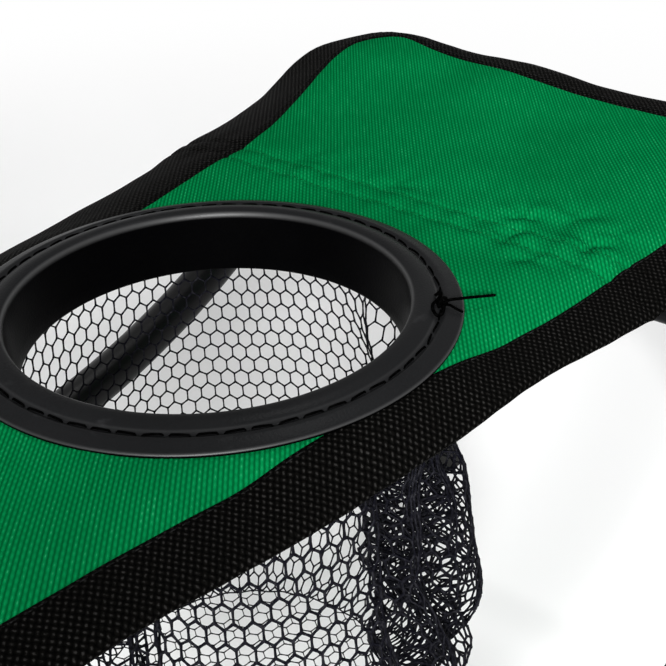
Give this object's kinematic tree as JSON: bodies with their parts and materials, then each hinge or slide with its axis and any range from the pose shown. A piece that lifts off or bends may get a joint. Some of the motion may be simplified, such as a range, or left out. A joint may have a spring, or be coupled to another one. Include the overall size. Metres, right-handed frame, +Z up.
{
  "type": "golf chipping net",
  "caption": "Folding golf chipping net: a fabric deck with a stitched cup ring and mesh ball bag on a tube frame with hinged legs, and a hoop that carries a backstop net.",
  "frame": {"origin": "bottom centre of the whole part's box, on the ground between the feet", "axes": "+Z up; +X towards the player, the wide end of the deck; +Y to the left seen along +X; the object is a mirror image of itself across the XZ plane"},
  "size_m": [0.5732, 0.4218, 0.6382],
  "materials": {
    "green_polyester": "woven, satin",
    "black_binding": "coarse woven tape",
    "black_netting": "knitted",
    "black_ring_plastic": "satin",
    "steel_rivet": "plain",
    "black_moulding": "fine grain",
    "black_rubber": "matt",
    "rod_fibreglass": "satin",
    "black_tube": "satin powder coat"
  },
  "bodies": {
    "frame": {"target_band": "green_polyester", "band_binding": "black_binding", "front_pocket": "green_polyester", "rear_pocket": "green_polyester", "cup_ring": "black_ring_plastic", "ball_net": "black_netting", "front_bar": "black_tube", "rear_bar": "black_tube", "left_rail": "black_tube", "front_left_corner": "black_moulding", "rear_left_corner": "black_moulding", "left_hoop_rivet": "steel_rivet", "right_rail": "black_tube", "front_right_corner": "black_moulding", "rear_right_corner": "black_moulding", "right_hoop_rivet": "steel_rivet"},
    "front_legs": {"front_left_leg": "black_tube", "front_left_leg_plug": "black_moulding", "front_left_foot": "black_rubber", "front_left_leg_rivet": "steel_rivet", "front_right_leg": "black_tube", "front_right_leg_plug": "black_moulding", "front_right_foot": "black_rubber", "front_right_leg_rivet": "steel_rivet", "front_brace": "black_tube"},
    "rear_legs": {"rear_left_leg": "black_tube", "rear_left_leg_plug": "black_moulding", "rear_left_foot": "black_rubber", "rear_left_leg_rivet": "steel_rivet", "rear_right_leg": "black_tube", "rear_right_leg_plug": "black_moulding", "rear_right_foot": "black_rubber", "rear_right_leg_rivet": "steel_rivet", "rear_brace": "black_tube"},
    "backstop": {"hoop_rod": "rod_fibreglass", "hoop_sleeve": "green_polyester", "backstop_net": "black_netting", "hem_strap": "black_binding", "left_hoop_eye": "black_moulding", "right_hoop_eye": "black_moulding"}
  },
  "joints": [
    {"name": "front_leg_fold", "type": "hinge", "parent": "frame", "child": "front_legs", "pos_m": [0.23298, 0, 0.1947], "axis": [0, 1, 0], "range_deg": [0, 100]},
    {"name": "rear_leg_fold", "type": "hinge", "parent": "frame", "child": "rear_legs", "pos_m": [-0.17702, 0, 0.1947], "axis": [0, -1, 0], "range_deg": [0, 100]},
    {"name": "backstop_fold", "type": "hinge", "parent": "frame", "child": "backstop", "pos_m": [-0.17702, 0, 0.2457], "axis": [0, 1, 0], "range_deg": [0, 100]}
  ]
}
